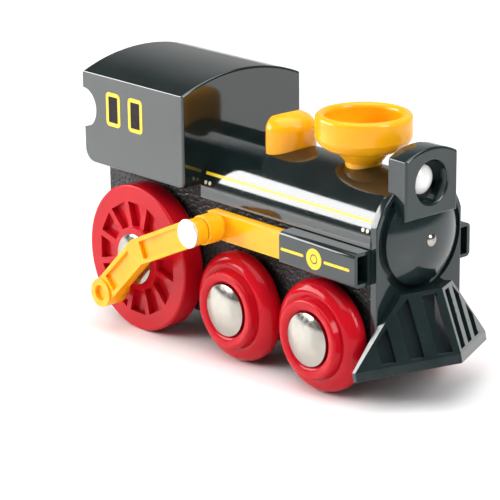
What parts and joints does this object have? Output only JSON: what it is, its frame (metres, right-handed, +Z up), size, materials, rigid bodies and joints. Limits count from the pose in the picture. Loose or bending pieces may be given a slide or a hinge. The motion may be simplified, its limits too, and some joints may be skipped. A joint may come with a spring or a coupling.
{
  "type": "push-along toy steam locomotive",
  "caption": "Push-along toy steam engine for a wooden railway, with sliding pistons, swinging drive rods, a plough and a magnetic rear coupling.",
  "frame": {"origin": "on the ground under the middle of the engine's length, on its centre plane", "axes": "+X towards the plough (forwards), +Y to the engine's left, +Z up"},
  "size_m": [0.101, 0.0472, 0.0573],
  "materials": {
    "lacquer_dark": "glossy dark green-grey lacquer on a wooden block",
    "plastic_dark": "satin dark green-grey moulding",
    "chassis_black": "black with a coarse leather-like texture",
    "plastic_red": "glossy red moulding",
    "plastic_yellow": "glossy warm yellow, slightly translucent moulding",
    "nickel": "polished nickel",
    "lens_silver": "silvery white lamp button",
    "steel": "drawn steel",
    "magnet_steel": "plated magnet"
  },
  "bodies": {
    "engine": {"chassis_frame": "chassis_black", "cab_block": "lacquer_dark", "boiler_block": "lacquer_dark", "smokebox_plate": "plastic_dark", "smokebox_door": "plastic_dark", "door_rivet": "nickel", "headlamp_housing": "plastic_dark", "headlamp_lens": "lens_silver", "funnel": "plastic_yellow", "steam_dome": "plastic_yellow", "cowcatcher": "plastic_dark", "body_screws": "steel", "coupling_holder": "plastic_dark", "coupling_magnet": "magnet_steel", "coupling_rivet": "steel", "cylinder_sleeve_left": "plastic_dark", "cylinder_sleeve_right": "plastic_dark"},
    "rear_wheelset": {"rear_axle": "steel", "rear_wheel_left": "plastic_red", "rear_wheel_right": "plastic_red", "rear_hub_cap_left": "nickel", "rear_hub_cap_right": "nickel", "crank_stud_left": "plastic_yellow", "crank_stud_right": "plastic_yellow"},
    "middle_wheelset": {"middle_axle": "steel", "middle_wheel_left": "plastic_red", "middle_wheel_right": "plastic_red", "middle_hub_cap_left": "nickel", "middle_hub_cap_right": "nickel"},
    "front_wheelset": {"front_axle": "steel", "front_wheel_left": "plastic_red", "front_wheel_right": "plastic_red", "front_hub_cap_left": "nickel", "front_hub_cap_right": "nickel"},
    "piston_left": {"piston_bar_left": "plastic_yellow", "crosshead_pin_left": "nickel"},
    "rod_left": {"connecting_rod_left": "plastic_yellow"},
    "piston_right": {"piston_bar_right": "plastic_yellow", "crosshead_pin_right": "nickel"},
    "rod_right": {"connecting_rod_right": "plastic_yellow"}
  },
  "joints": [
    {"name": "rear_axle_spin", "type": "hinge", "parent": "engine", "child": "rear_wheelset", "pos_m": [-0.0293, 0, 0.0159], "axis": [0, 1, 0], "continuous": true},
    {"name": "middle_axle_spin", "type": "hinge", "parent": "engine", "child": "middle_wheelset", "pos_m": [0, 0, 0.01164], "axis": [0, 1, 0], "continuous": true},
    {"name": "front_axle_spin", "type": "hinge", "parent": "engine", "child": "front_wheelset", "pos_m": [0.02466, 0, 0.01164], "axis": [0, 1, 0], "continuous": true},
    {"name": "piston_slide_left", "type": "slide", "parent": "engine", "child": "piston_left", "axis": [1, 0, 0], "range_m": [-0.0012, 0.0166]},
    {"name": "rod_swing_left", "type": "hinge", "parent": "piston_left", "child": "rod_left", "pos_m": [-0.0039, 0.0215, 0.0284], "axis": [0, 1, 0], "range_deg": [-2.2, 26.9]},
    {"name": "piston_slide_right", "type": "slide", "parent": "engine", "child": "piston_right", "axis": [1, 0, 0], "range_m": [-0.0012, 0.0166]},
    {"name": "rod_swing_right", "type": "hinge", "parent": "piston_right", "child": "rod_right", "pos_m": [-0.0039, -0.0215, 0.0284], "axis": [0, 1, 0], "range_deg": [-2.2, 26.9]}
  ],
  "couplings": [
    {"joint": "piston_slide_right", "follows": "piston_slide_left", "ratio": 1},
    {"joint": "rod_swing_right", "follows": "rod_swing_left", "ratio": 1}
  ]
}
